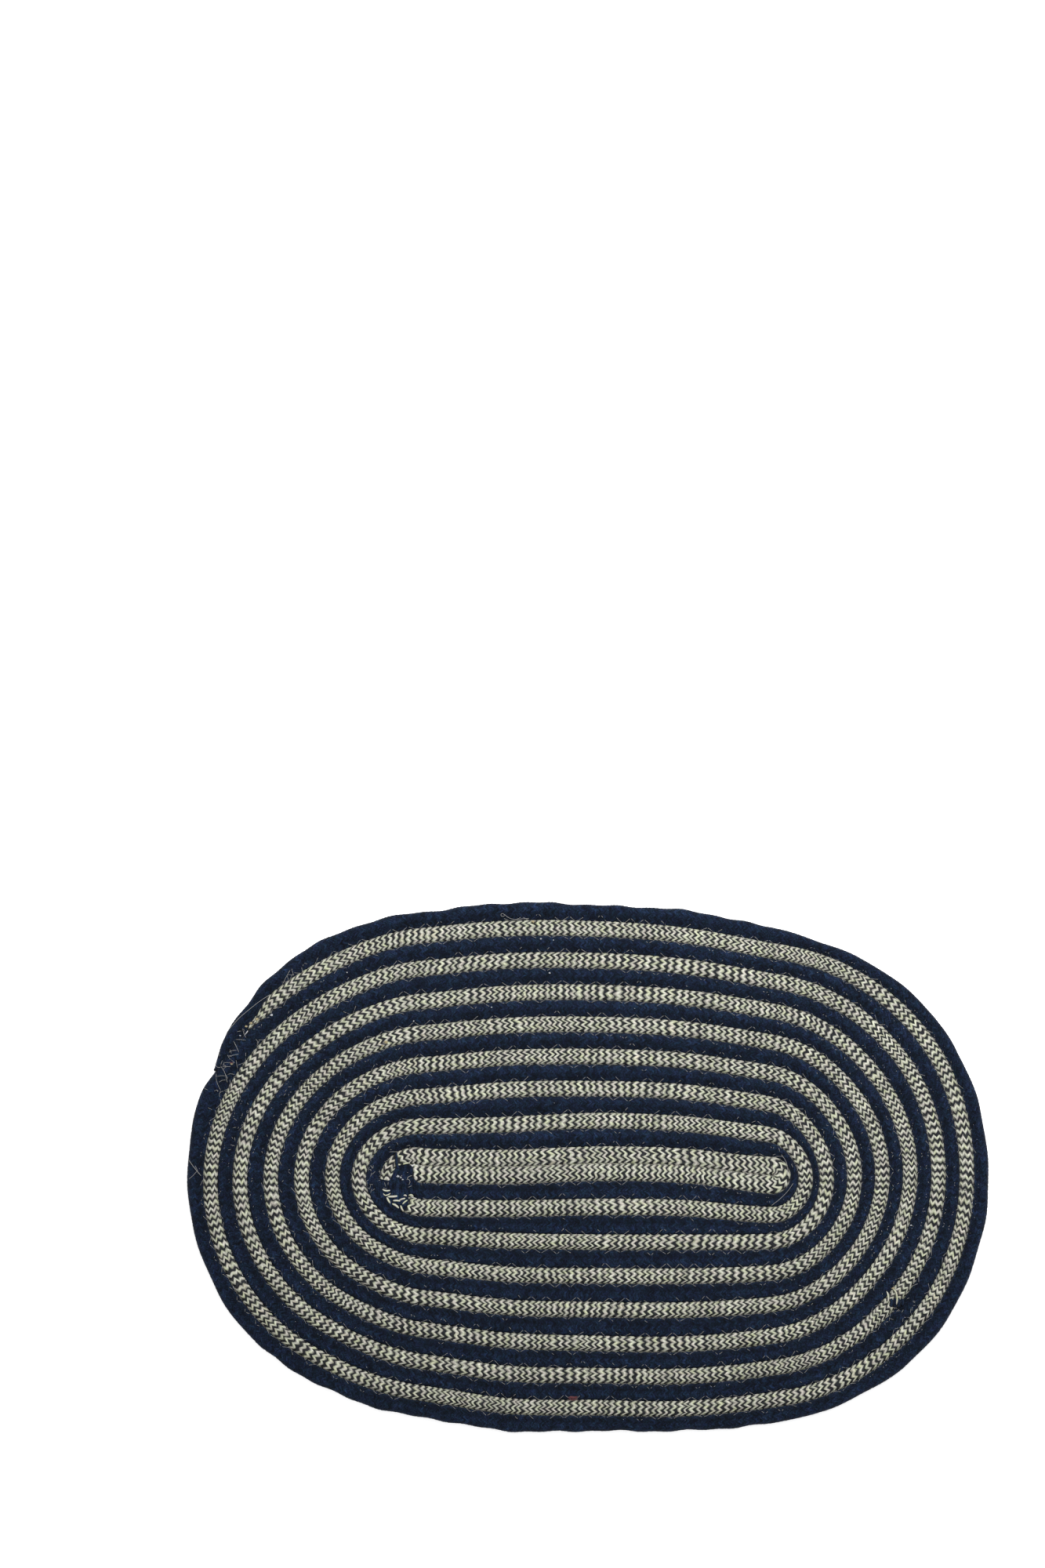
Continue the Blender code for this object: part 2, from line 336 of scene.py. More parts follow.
def skin(name, grids, material):
    """One closed piece made of tubes. Each grid is a tube's skin, rows along it and columns round
    it, capped at its ends. With it goes each point's place in the plait, in pairs of yarns along
    and floats round, with one column more, where the tube closes. The map named weave has it."""
    points, corners, sizes, weave = [], [], [], []
    first = 0
    for grid, place in grids:
        rows, columns = grid.shape[:2]
        ring = np.arange(columns)
        i, j = np.meshgrid(np.arange(rows - 1), ring, indexing="ij")
        here, beyond = i * columns, (i + 1) * columns
        following = (j + 1) % columns
        quads = np.stack([here + j, beyond + j, beyond + following, here + following], -1)
        places = np.stack([place[i, j], place[i + 1, j], place[i + 1, j + 1], place[i, j + 1]], 2)
        points.append(grid.reshape(-1, 3))
        corners += [first + quads.ravel(), first + ring, first + (rows - 1) * columns + ring[::-1]]
        sizes += [np.full(i.size, 4), np.full(2, columns)]
        weave += [places.reshape(-1, 2), place[0, ring], place[-1, ring[::-1]]]
        first += rows * columns
    corners, sizes = np.concatenate(corners), np.concatenate(sizes)
    mesh = bpy.data.meshes.new(name)
    mesh.vertices.add(first)
    mesh.vertices.foreach_set("co", np.concatenate(points).astype(np.float32).ravel())
    mesh.loops.add(len(corners))
    mesh.loops.foreach_set("vertex_index", corners.astype(np.int32))
    mesh.polygons.add(len(sizes))
    mesh.polygons.foreach_set("loop_start", (np.cumsum(sizes) - sizes).astype(np.int32))
    mesh.update(calc_edges=True)
    layer = mesh.uv_layers.new(name="weave")
    layer.data.foreach_set("uv", np.concatenate(weave).astype(np.float32).ravel())
    mesh.shade_smooth()
    mesh.materials.append(material)
    mesh.validate()
    piece = bpy.data.objects.new(name, mesh)
    bpy.context.scene.collection.objects.link(piece)
    return piece


def add(tree, kind, feeds=(), **settings):
    """Adds a node with its settings. feeds gives its inputs, in order or by name: a socket is
    linked, and anything else is a value."""
    node = tree.nodes.new("ShaderNode" + kind)
    for key, value in settings.items():
        setattr(node, key, value)
    for key, value in feeds.items() if isinstance(feeds, dict) else enumerate(feeds):
        if isinstance(value, bpy.types.NodeSocket):
            tree.links.new(value, node.inputs[key])
        else:
            node.inputs[key].default_value = value
    return node


FIBRE_SIZE = 0.9 * MM  # coarser than a real fibre of 0.02 mm, so that it shows
PATCH_SIZE = 3.5 * MM  # of the tints, about one float across
DRIFT_SIZE = 35 * MM  # of the slow drift in brightness, from one batch of yarn to the next
PLIES = 9.0  # in a pair of yarns, about a third of a yarn apart
PLY_SLANT = 1.6  # how many plies a line drifts over along one float
PAINTED_SHADE_REACH = 0.19  # how far from a groove the painted shade reaches, as a share of a pair


def yarn_material(name, wide, narrow, odd, tints, groove_shade, edge_shade, streaks, columns,
                  sheen, shine):
    """Two yarns side by side in zigzags. wide and narrow are their colours, each a pair to vary
    between, odd is a third colour that some of the wide yarn's floats take, and tints come and go
    in soft patches. groove_shade and edge_shade are how much light the painted shade leaves in the
    grooves and along the row's edges. streaks is how strongly the dye varies from one thread to the
    next, and columns from yarn to yarn."""
    material = bpy.data.materials.new(name)
    material.use_nodes = True
    tree = material.node_tree
    tree.nodes.clear()
    weave = add(tree, "UVMap", uv_map="weave").outputs[0]
    object_at = add(tree, "TexCoord").outputs["Object"]
    u, v = add(tree, "SeparateXYZ", (weave,)).outputs[:2]
    fibre, patch, drift = (
        add(tree, "TexNoise", {"Vector": object_at, "Scale": 1 / size, "Detail": detail}).outputs[0]
        for size, detail in ((FIBRE_SIZE, 2.0), (PATCH_SIZE, 2.0), (DRIFT_SIZE, 3.0))
    )
    fibre = add(tree, "Math", (fibre, 0.5), operation="SUBTRACT").outputs[0]
    # Where in the pair, and how far from the wide yarn's middle: 0.5 in the narrow yarn's. Then
    # where in the float, and how far from its middle: 0.5 where it ducks under.
    measures = []
    for count in (u, v):
        part = add(tree, "Math", (count,), operation="FRACT").outputs[0]
        off = add(tree, "Math", (part, 0.5), operation="SUBTRACT").outputs[0]
        measures += [part, add(tree, "Math", (off,), operation="ABSOLUTE").outputs[0]]
    phase, from_wide, leg, from_middle = measures
    # How far from the row's edge, in floats.
    from_seam = add(tree, "Math", (v, LEGS + 0.5), operation="ADD").outputs[0]
    from_seam = add(tree, "Math", (from_seam, LEGS / 4), operation="PINGPONG").outputs[0]
    # A chance for each float of the wide yarn and of the narrow one, so that no two look the same.
    row = add(tree, "Math", (v,), operation="FLOOR").outputs[0]
    chances = []
    for shift, layer in ((0.0, 0.0), (0.5, 7.0)):
        pair = add(tree, "Math", (u, shift), operation="ADD").outputs[0]
        pair = add(tree, "Math", (pair,), operation="FLOOR").outputs[0]
        float_name = add(tree, "CombineXYZ", (pair, row, layer)).outputs[0]
        chances.append(add(tree, "TexWhiteNoise", {"Vector": float_name}))
    more_chances = add(tree, "SeparateColor", (chances[0].outputs["Color"],)).outputs
    # The wide yarn's ragged edge. Each float spreads to it differently, and spreads widest where it
    # turns back at the row's edges.
    edge = 0.5 - GROOVE
    spread_at = (from_seam, 0.5, 1.6, 0.06, 0.0)
    spread = add(tree, "MapRange", spread_at, interpolation_type="SMOOTHSTEP").outputs[0]
    own_spread = add(tree, "Math", (more_chances[2], 0.5), operation="SUBTRACT").outputs[0]
    ragged = from_wide
    for part, strength in ((spread, -1.0), (fibre, 0.07), (own_spread, 0.09)):
        ragged = add(tree, "Math", (part, strength, ragged), operation="MULTIPLY_ADD").outputs[0]
    # Fine plies along the float, waves of light and dark: painted shade between the plies, and the
    # bump's height.
    ply = fibre
    for part, strength in ((phase, PLIES), (leg, PLY_SLANT)):
        ply = add(tree, "Math", (part, strength, ply), operation="MULTIPLY_ADD").outputs[0]
    for operation, *by in (("MULTIPLY", 2 * math.pi), ("SINE",), ("MULTIPLY_ADD", 0.5, 0.5)):
        ply = add(tree, "Math", (ply, *by), operation=operation).outputs[0]
    # The colours. Each row of the table mixes another into the colour so far, by a share that eases
    # from one value to another as a measure goes between two.
    colours = []
    for chance, (a, b) in zip(chances, (wide, narrow)):
        feeds = {0: chance.outputs[0], 6: linear(a), 7: linear(b)}
        colours.append(add(tree, "Mix", feeds, data_type="RGBA").outputs[2])
    wide_colour, colour = colours
    odd_at = (more_chances[1], 0.70, 0.95, 0.0, 0.7)
    odd_share = add(tree, "MapRange", odd_at, interpolation_type="SMOOTHSTEP").outputs[0]
    feeds = {0: odd_share, 6: wide_colour, 7: linear(odd)}
    wide_colour = add(tree, "Mix", feeds, data_type="RGBA").outputs[2]
    for blend, other, *share_at in (
        ("MIX", wide_colour, ragged, edge - 0.02, edge + 0.02, 1.0, 0.0),
        ("MULTIPLY", linear(tints[0]), patch, 0.50, 0.64, 0.0, 1.0),
        ("MULTIPLY", linear(tints[1]), patch, 0.36, 0.50, 1.0, 0.0),
    ):
        share = add(tree, "MapRange", share_at, interpolation_type="SMOOTHSTEP").outputs[0]
        feeds = {0: share, 6: colour, 7: other}
        colour = add(tree, "Mix", feeds, data_type="RGBA", blend_type=blend).outputs[2]
    # The dye, in streaks along the yarns: first from thread to thread, then from yarn to yarn.
    dyes = []
    for along_row, across_row in ((5.0, 0.6), (2.2, 0.3)):
        stretch = (weave, (along_row, across_row, 0.0), (0.0, 0.0, across_row))
        dye_at = add(tree, "VectorMath", stretch, operation="MULTIPLY_ADD").outputs[0]
        dye = add(tree, "TexNoise", {"Vector": dye_at, "Scale": 1.0, "Detail": 2.0})
        dyes.append(dye.outputs[0])
    # The light that is left, one easing after the other: painted shade in the grooves, where a
    # float ducks under, between the plies and along the row's edges, and with it the yarn's own
    # brightness, which drifts from batch to batch and varies with its dye and fibres.
    to_groove = add(tree, "Math", (from_wide, edge), operation="SUBTRACT").outputs[0]
    to_groove = add(tree, "Math", (to_groove,), operation="ABSOLUTE").outputs[0]
    light = 1.0
    for easing in (
        # measure, from, to, light left there and there
        (to_groove, 0.0, PAINTED_SHADE_REACH, groove_shade, 1.0),
        (from_middle, 0.325, 0.5, 1.0, 0.78),
        (ply, 0.0, 1.0, 0.86, 1.0),
        (drift, 0.3, 0.7, 0.93, 1.05),
        (from_seam, 0.4, 1.7, edge_shade, 1.0),
        (dyes[0], 0.34, 0.66, 1 - streaks, 1 + streaks),
        (dyes[1], 0.34, 0.66, 1 - columns, 1 + columns),
        (fibre, -0.16, 0.16, 1 - streaks, 1 + streaks),
    ):
        share = add(tree, "MapRange", easing, interpolation_type="SMOOTHSTEP").outputs[0]
        light = add(tree, "Math", (light, share), operation="MULTIPLY").outputs[0]
    feeds = {0: 1.0, 6: colour, 7: light}
    colour = add(tree, "Mix", feeds, data_type="RGBA", blend_type="MULTIPLY").outputs[2]
    height = add(tree, "Math", (ply, 0.35, fibre), operation="MULTIPLY_ADD").outputs[0]
    bump = add(tree, "Bump", {"Height": height, "Strength": 0.5, "Distance": 0.25 * MM})
    finish = {
        "Base Color": colour,
        "Roughness": 0.9,
        "Specular IOR Level": shine,
        "Sheen Weight": sheen,
        "Sheen Roughness": 0.5,
        "Normal": bump.outputs[0],
    }
    shader = add(tree, "BsdfPrincipled", finish)
    add(tree, "OutputMaterial", (shader.outputs[0],))
    return material


def lay_braid(name, node, grid, material, pieces):
    """Cuts a long braid into closed pieces that meet face to face, and sets each in the frame. The
    braid is a tube of yarns pressed flat, so as a sheet it is half its girth wide."""
    points, u, v, at = grid
    place = np.stack(np.meshgrid(u, np.append(v, v[0] + LEGS), indexing="ij"), -1)
    cuts = np.linspace(0, len(u) - 1, pieces + 1).astype(int)
    for k, (first, last) in enumerate(zip(cuts, cuts[1:])):
        stretch = (points[first : last + 1], place[first : last + 1])
        part = skin(f"{name}_{k + 1}", [stretch], material)
        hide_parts(node)
        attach(part, "root")


def full_height(s):
    """The braid's height along it: the rug's thickness."""
    return np.full(np.shape(s), RUG_THICKNESS)


# Plied cotton, soft and quite matt: rounded yarns with painted shade in the grooves between them
# and at the ends of the floats, and plies that catch the light in fine slanting lines, by bump and
# by painted shade between them.
tweed_yarn = yarn_material(
    "plied_cotton_cream_and_charcoal",
    wide=("#CCCDBF", "#B5B6A8"),
    narrow=("#2E3034", "#1E2125"),
    odd="#C4C6AB",
    tints=("#FDF5FB", "#FBFFF0"),
    groove_shade=0.42,
    edge_shade=1.0,
    streaks=0.10,
    columns=0.06,
    sheen=0.1,
    shine=0.2,
)
tweed_grid = braid(
    np.random.default_rng(11),
    TWEED_START,
    TWEED_END,
    lambda s: edge_at(s) + np.where(s < FIRST_NAVY, -DRAWN_IN, drawn_in(s)),
    lambda s: edge_at(s) + tweed_width_at(s) - drawn_in(s),
    STATIONS,
    TWEED_RELIEF,
    TWEED_CORNER,
    PAIR_PITCH,
    full_height,
)
lay_braid("tweed_rows", "tweed_braid", tweed_grid, tweed_yarn, 3)

# The navy braid.
# The same plait in navy cotton yarn with a blue-black yarn beside it. Its cut end is folded into a
# knot at the middle of the rug, and its last turn is the rug's edge.
NAVY_PITCH = 5.0 * MM
# Plied cotton dyed nearly black: it swallows most light, so the plait hardly shows, and the dye's
# streaks do. Painted shade darkens it along the row's edges, and a little in its grooves.
navy_yarn = yarn_material(
    "plied_cotton_navy",
    wide=("#162236", "#121D2E"),
    narrow=("#151F33", "#111B2B"),
    odd="#16253D",
    tints=("#F8EFFF", "#E8FFF6"),
    groove_shade=0.85,
    edge_shade=0.62,
    streaks=0.48,
    columns=0.28,
    sheen=0.05,
    shine=0.1,
)
NAVY_KNOT = np.array([
    # X, upper and lower edge from the core line, in mm, and height as a share of the thickness
    (-142.2, 5.2, 7.0, 0.55),
    (-140.2, -4.6, 10.0, 0.85),
    (-136.8, -6.6, 12.4, 1.00),
    (-134.5, -6.6, 13.8, 1.00),
    (-133.5, 6.2, 14.8, 1.00),
])
LAST_TURN = TWEED_END - PER_TURN  # from here on no tweed lies outside the navy
EDGE_WAVES = ((0.45 * MM, 7.9), (0.35 * MM, 17.3))  # that the sewing pulls the rug's edge into
KNOT_S = (NAVY_KNOT[:, 0] * MM - CORE_X) / CORE_HALF / PLACES[1, 0]
NAVY_STATIONS = np.array([0.0, GROOVE, 0.50, 1 - GROOVE])
NAVY_RELIEF = np.array([0.12, -0.10, 0.14, -0.10]) * MM
NAVY_CORNER = np.array([0.04, -0.16, 0.08, -0.02]) * MM


def from_knot(s, column, joint, row):
    """An edge of the navy: a column of its knot's table up to the joint, then the row's edge."""
    out = np.append(NAVY_KNOT[:, column] * MM, joint)
    return np.where(s < NAVY_START, np.interp(s, np.append(KNOT_S, NAVY_START), out), row)


def navy_inner(s):
    """The navy's inner edge: its knot's upper edge, then the tweed's outer edge."""
    row = edge_at(s) + tweed_width_at(s) - drawn_in(s)
    return from_knot(s, 1, edge_at(NAVY_START) + FIRST_TWEED_WIDTH - DRAWN_IN, row)


def navy_outer(s):
    """The navy's outer edge: its knot's lower edge, then the inner edge of the tweed's next turn.
    On the last turn it is the rug's own edge, with small waves, a sum of two sines."""
    waves = sum(high * np.sin(quick * s) for high, quick in EDGE_WAVES)
    row = edge_at(s + PER_TURN) + read(RUG_EDGE, s) * MM
    row = row + np.where(s < LAST_TURN, drawn_in(s), waves)
    return from_knot(s, 2, edge_at(NAVY_START + PER_TURN) + DRAWN_IN, row)


def navy_height(s):
    """The navy's height along it: less at the tip of its knot, then the rug's thickness."""
    return np.interp(s, KNOT_S, NAVY_KNOT[:, 3]) * RUG_THICKNESS


navy_grid = braid(
    np.random.default_rng(23),
    KNOT_S[0],
    NAVY_END,
    navy_inner,
    navy_outer,
    NAVY_STATIONS,
    NAVY_RELIEF,
    NAVY_CORNER,
    NAVY_PITCH,
    navy_height,
)
lay_braid("navy_rows", "navy_braid", navy_grid, navy_yarn, 3)

# The sewing.
# Beige spun thread, much thinner than the yarn. A zigzag machine stitch runs along every seam and
# bites into the row on each side, and it shows on the face and on the back.
THREAD_RADIUS = 0.12 * MM
STITCH = 5.85 * MM  # along the seam, from a bite on one side to the next bite on the other
NAVY_BITE = 2.9 * MM  # how far from the seam the stitch bites into a navy row
TWEED_BITE = 1.0 * MM
STITCH_CHANCE = 0.12  # how much stitches differ in length by chance, as a share
BITE_CHANCE = 0.3  # and in how far they reach
BITE_DEPTH = 1.3 * MM  # how far down a bite goes
THREAD_RISE = 0.3 * MM  # how far the thread's middle lies above the rows
SEAM_HEIGHT = 0.62  # how high the rows are at the seam, from their middle, as a share
SUNK_SHARE = 0.2  # of the legs pulled down between the yarns, where they don't show
SUNK_DEPTH = 0.9 * MM


def thread_tube(line, radius, sides):
    """A round thread about a line of points, as a grid for skin(). Each ring stands square to the
    line there. radius is one value, or one for each point. On a thread of yarn the plait's map runs
    along one float, and stays on the wide yarn."""
    line = np.asarray(line, float)
    ahead = np.gradient(line, axis=0)
    ahead /= np.linalg.norm(ahead, axis=1)[:, None]
    side = np.stack([-ahead[:, 1], ahead[:, 0], np.zeros(len(line))], -1)
    side /= np.maximum(np.linalg.norm(side, axis=1)[:, None], 1e-9)
    over = np.cross(side, ahead)
    turn = 2 * np.pi * np.arange(sides) / sides
    ring = side[:, None] * np.cos(turn)[:, None] - over[:, None] * np.sin(turn)[:, None]
    size = np.broadcast_to(radius, len(line))[:, None, None]
    lengthwise = np.linspace(0.02, 0.98, len(line))
    crosswise = 0.5 + 0.3 * np.cos(np.append(turn, 0.0))
    place = np.stack(np.meshgrid(lengthwise, crosswise, indexing="ij"), -1)
    return line[:, None] + ring * size, place[:, :, ::-1]


def stitch_line(rng, start, end, seam_of, inner_bite, outer_bite, face):
    """The zigzag of thread along a seam: down into one row, over the seam, down into the other.

    Each leg has four points: its bite under the surface, where it comes up, over the seam, and
    where it goes down again. It lies on the navy and sinks between the cream yarns. face is 1 on
    the rug's face and -1 on its back."""
    s = np.linspace(start, end, int((end - start) * FINE_STEPS))
    run = along(*spot(s, seam_of(s)))
    bites = int(run[-1] / STITCH)
    step = STITCH * np.exp(STITCH_CHANCE * rng.standard_normal(bites))
    bite_at = np.cumsum(step) * run[-1] / step.sum() - step[0] / 2
    inward = np.arange(bites) % 2 == 0
    uneven = np.clip(1 + BITE_CHANCE * rng.standard_normal(bites), 0.3, 1.7)
    reach = np.where(inward, -inner_bite, outer_bite) * uneven
    share = np.array([0.0, 0.16, 0.5, 0.84])
    at = bite_at[:-1, None] + np.diff(bite_at)[:, None] * share
    across = reach[:-1, None] + np.diff(reach)[:, None] * share
    away = np.abs(across) / (TWEED_WIDTH / 2)
    # The rows' rounded shoulders, by the superellipse of their sections.
    shoulder = (1 - np.clip(1 - away, 0, 1) ** SECTION_ROUNDNESS) ** (1 / SECTION_ROUNDNESS)
    z = RUG_THICKNESS / 2 * (1 + np.where(share == 0.5, SEAM_HEIGHT, shoulder)) + THREAD_RISE
    sunk = rng.random((bites - 1, 1)) < SUNK_SHARE
    z = z - np.where(share == 0.0, BITE_DEPTH, 0.0) - np.where(sunk, SUNK_DEPTH, 0.0)
    place = np.interp(at.ravel(), run, s)
    x, y = spot(place, seam_of(place) + across.ravel())
    z = z.ravel() if face > 0 else np.maximum(RUG_THICKNESS - z.ravel(), THREAD_RADIUS)
    return np.stack([x, y, z], -1)


def plain_material(name, finish):
    """A material that is one shader, with its settings by name."""
    material = bpy.data.materials.new(name)
    material.use_nodes = True
    for key, value in finish.items():
        material.node_tree.nodes["Principled BSDF"].inputs[key].default_value = value
    return material


# Spun polyester: smoother than cotton, so each stitch has a faint gloss along its top.
thread_finish = {"Base Color": linear("#939290"), "Roughness": 0.7, "Specular IOR Level": 0.3}
sewing_thread = plain_material("spun_polyester_thread", thread_finish)


def outer_seam(s):
    """The seam on the tweed's outer side, where its own turn of navy lies."""
    return edge_at(s) + tweed_width_at(s)


SEAMS = (
    #  start, end, where the seam lies, bite towards the middle, bite away from it
    ("outside_the_tweed", TWEED_START, TWEED_TAIL[0, 0], outer_seam, TWEED_BITE, NAVY_BITE),
    ("inside_the_tweed", FIRST_NAVY, TWEED_END, edge_at, NAVY_BITE, TWEED_BITE),
    ("down_the_middle", TWEED_START, 2.0, edge_at, TWEED_BITE, TWEED_BITE),
)
sew_rng = np.random.default_rng(5)
for seam, *route in SEAMS:
    lines = [stitch_line(sew_rng, *route, face) for face in (1, -1)]
    tubes = [thread_tube(line, THREAD_RADIUS, 4) for line in lines]
    thread = skin(f"stitches_{seam}", tubes, sewing_thread)
    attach(thread, "root")

# The folded beginning.
# The navy cord's cut end is turned over the tweed's first turn, spread flat and sewn down. One navy
# yarn of it lies across the tweed, and a few cream floats of the tweed are pulled loose there.
FOLD_MIDDLE = (-145.3 * MM, -15.3 * MM)
FOLD_OUTLINE = np.array([
    # degrees round from +X, mm out
    (-163, 14.1),
    (-121, 14.6),
    (-87, 19.6),
    (-57, 19.2),
    (-33, 11.9),
    (-8, 21.9),
    (2, 21.9),
    (9, 17.5),
    (29, 14.9),
    (38, 18.4),
    (47, 20.0),
    (55, 20.9),
    (62, 18.6),
    (84, 15.5),
    (100, 8.2),
    (124, 6.0),
    (145, 6.4),
    (153, 13.0),
    (160, 17.1),
    (174, 17.1),
])
FOLD_RISE = 0.55 * MM  # how far its face lies above the rows
FOLD_HUMPS = np.array([
    # mm from its middle along X and Y, mm high, mm wide
    (-11.5, 3.5, 0.9, 3.6),
    (7.5, 10.5, 1.0, 4.2),
    (14.0, 1.0, -0.5, 3.5),
    (-3.0, 3.0, -0.6, 3.0),
    (3.0, -6.0, 0.5, 4.0),
    (-2.0, -14.0, -0.3, 5.0),
])
FOLD_RIM_DROP = 1.2 * MM  # how far its rim is sewn down
FOLD_RINGS = 22
FOLD_SIDES = 120


def fold_grid():
    """The fold's skin: rings that grow from its middle to its outline and shrink again below. Its
    face bulges by the humps, each a bell curve, and rounds off at the rim like a superellipse."""
    turn = np.linspace(0, 360, FOLD_SIDES, endpoint=False)
    reach = np.interp(turn, FOLD_OUTLINE[:, 0], FOLD_OUTLINE[:, 1], period=360) * MM
    reach = np.convolve(np.tile(reach, 3), np.full(5, 0.2), "same")[FOLD_SIDES : 2 * FOLD_SIDES]
    share = np.sin(np.linspace(0.02, 0.98, 2 * FOLD_RINGS) * np.pi)[:, None]
    dx = share * reach * np.cos(np.radians(turn))
    dy = share * reach * np.sin(np.radians(turn))
    hump_x, hump_y, high, wide = (FOLD_HUMPS[:, k] * MM for k in range(4))
    off = (dx[..., None] - hump_x) ** 2 + (dy[..., None] - hump_y) ** 2
    bulge = (high * np.exp(-off / (2 * wide**2))).sum(-1)
    face = np.arange(2 * FOLD_RINGS)[:, None] < FOLD_RINGS
    rim = (1 - share**6) ** 0.5
    rise = np.where(face, FOLD_RISE + (FOLD_RISE + bulge) * rim, FOLD_RISE * 0.8)
    rise = rise - FOLD_RIM_DROP * np.clip((share - 0.9) / 0.1, 0, 1) ** 2
    points = np.stack([FOLD_MIDDLE[0] + dx, FOLD_MIDDLE[1] + dy, RUG_THICKNESS + rise], -1)
    place = np.stack([dx / NAVY_PITCH, dy / TWEED_WIDTH * 5], -1)
    return points, np.concatenate([place, place[:, :1]], 1)


def through(points, spacing):
    """A smooth (Catmull-Rom) line through points given in mm, with its own points spacing apart."""
    knots = np.asarray(points, float) * MM
    knots = np.concatenate([2 * knots[:1] - knots[1:2], knots, 2 * knots[-1:] - knots[-2:-1]])
    lengths = np.linalg.norm(np.diff(knots[1:-1], axis=0), axis=1)
    steps = int(np.ceil(lengths.sum() / spacing)) + 1
    run = np.append(0, np.cumsum(lengths))
    at = np.interp(np.linspace(0, lengths.sum(), steps), run, range(len(run)))
    i = np.minimum(at.astype(int), len(knots) - 4)
    f = (at - i)[:, None]
    before, here, after, beyond = (knots[i + k] for k in range(4))
    return here + f / 2 * (after - before + f * (2 * before - 5 * here + 4 * after - beyond
                                                 + f * (3 * here - before - 3 * after + beyond)))


def tapered(line, radius):
    """Radii along a line of points: full in the middle, and drawn in towards both ends."""
    run = np.linspace(-1, 1, len(line))
    return radius * np.maximum(1 - np.abs(run) ** 3, 0.03) ** 0.6


def yarn_ends(rows, sides, sink=0.0):
    """Tapered lengths of yarn for skin(), sunk a little, each on a pair of its own in the map."""
    tubes = []
    for number, (radius, points) in enumerate(rows):
        line = through(points, 0.5 * MM) - np.array([0, 0, sink])
        tube, place = thread_tube(line, tapered(line, radius * MM), sides)
        tubes.append((tube, place + [number, 0]))
    return tubes


fold = skin("navy_fold", [fold_grid()], navy_yarn)
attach(fold, "root")

STRAND_RADIUS = 1.15 * MM
STRAND = (
    # its points: X, Y and height, in mm
    (-144.0, 10.6, 6.6),
    (-143.9, 8.6, 8.6),
    (-143.7, 5.5, 9.4),
    (-143.6, 1.5, 9.5),
    (-142.4, -1.6, 9.2),
    (-139.8, -4.0, 9.2),
)
strand_line = through(STRAND, 0.6 * MM)
strand_tube = thread_tube(strand_line, tapered(strand_line, STRAND_RADIUS), 10)
strand = skin("navy_strand", [strand_tube], navy_yarn)
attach(strand, "root")

FLOATS = (
    # radius, then its points: X, Y and height, in mm
    (0.75, ((-154.9, -17.6, 9.3), (-151.5, -19.0, 9.9), (-147.8, -18.6, 9.4))),
    (0.55, ((-153.9, -20.4, 9.4), (-152.2, -22.4, 9.9), (-149.4, -21.8, 9.8),
            (-147.4, -20.0, 9.4))),
    (0.90, ((-150.6, -23.4, 9.4), (-146.0, -23.4, 10.2), (-142.2, -22.8, 9.5))),
    (0.85, ((-151.0, -23.6, 9.5), (-149.6, -26.4, 10.0), (-148.2, -28.6, 9.3))),
    (0.80, ((-146.6, -26.4, 9.4), (-143.4, -26.4, 9.9), (-140.2, -26.8, 9.3))),
    (0.95, ((-147.0, -28.6, 9.4), (-144.2, -30.0, 9.8), (-141.6, -32.2, 9.2))),
    (0.75, ((-142.0, -26.2, 9.6), (-139.2, -25.2, 10.1), (-136.6, -24.6, 9.4))),
    (0.65, ((-139.4, -29.4, 9.3), (-137.4, -27.4, 9.9), (-135.2, -25.8, 9.4))),
    (0.80, ((-140.6, -29.8, 9.4), (-139.6, -32.6, 9.8), (-138.2, -34.6, 9.2))),
    (0.80, ((-134.6, -22.4, 9.4), (-132.4, -22.2, 9.8), (-131.0, -23.6, 9.2))),
    (0.70, ((-138.6, -22.6, 9.4), (-137.2, -22.4, 9.9), (-135.8, -23.0, 9.4))),
    (0.70, ((-139.0, 1.0, 9.0), (-136.8, 1.8, 9.8), (-134.2, 2.2, 9.2))),
)
FLOAT_SINK = 0.3 * MM  # how far they are pressed into the fold
floats = skin("pulled_floats", yarn_ends(FLOATS, 8, FLOAT_SINK), tweed_yarn)
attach(floats, "root")

# The mended spot.
# Low on the right the tweed was pieced together from two lengths. A few navy yarns lie over the
# joint there, and two of the tweed's cream floats hang out over them.
MENDED_NAVY = (
    # radius, then its points: X, Y and height, in mm
    (1.5, ((226.0, -100.2, 8.4), (226.8, -103.0, 9.4), (226.0, -106.6, 8.2))),
    (1.4, ((228.4, -99.6, 8.4), (229.4, -102.6, 9.6), (229.2, -107.6, 8.2))),
    (1.4, ((231.0, -99.4, 8.6), (232.2, -102.8, 9.8), (232.0, -107.4, 8.2))),
    (1.2, ((233.8, -100.2, 8.4), (234.8, -102.8, 9.4), (234.6, -105.6, 8.2))),
)
MENDED_CREAM = (
    (0.75, ((223.0, -94.6, 9.0), (224.0, -97.6, 10.8), (224.2, -101.4, 10.6),
            (223.4, -104.0, 8.8))),
    (0.80, ((227.6, -92.6, 9.2), (230.0, -96.0, 11.0), (230.8, -101.4, 10.9),
            (229.6, -106.4, 8.8))),
)
for name, rows, slot, yarn in (
    ("mended_navy_yarns", MENDED_NAVY, "navy_yarn", navy_yarn),
    ("mended_cream_floats", MENDED_CREAM, "tweed_yarn", tweed_yarn),
):
    mended = skin(name, yarn_ends(rows, 10), yarn)
    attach(mended, "root")

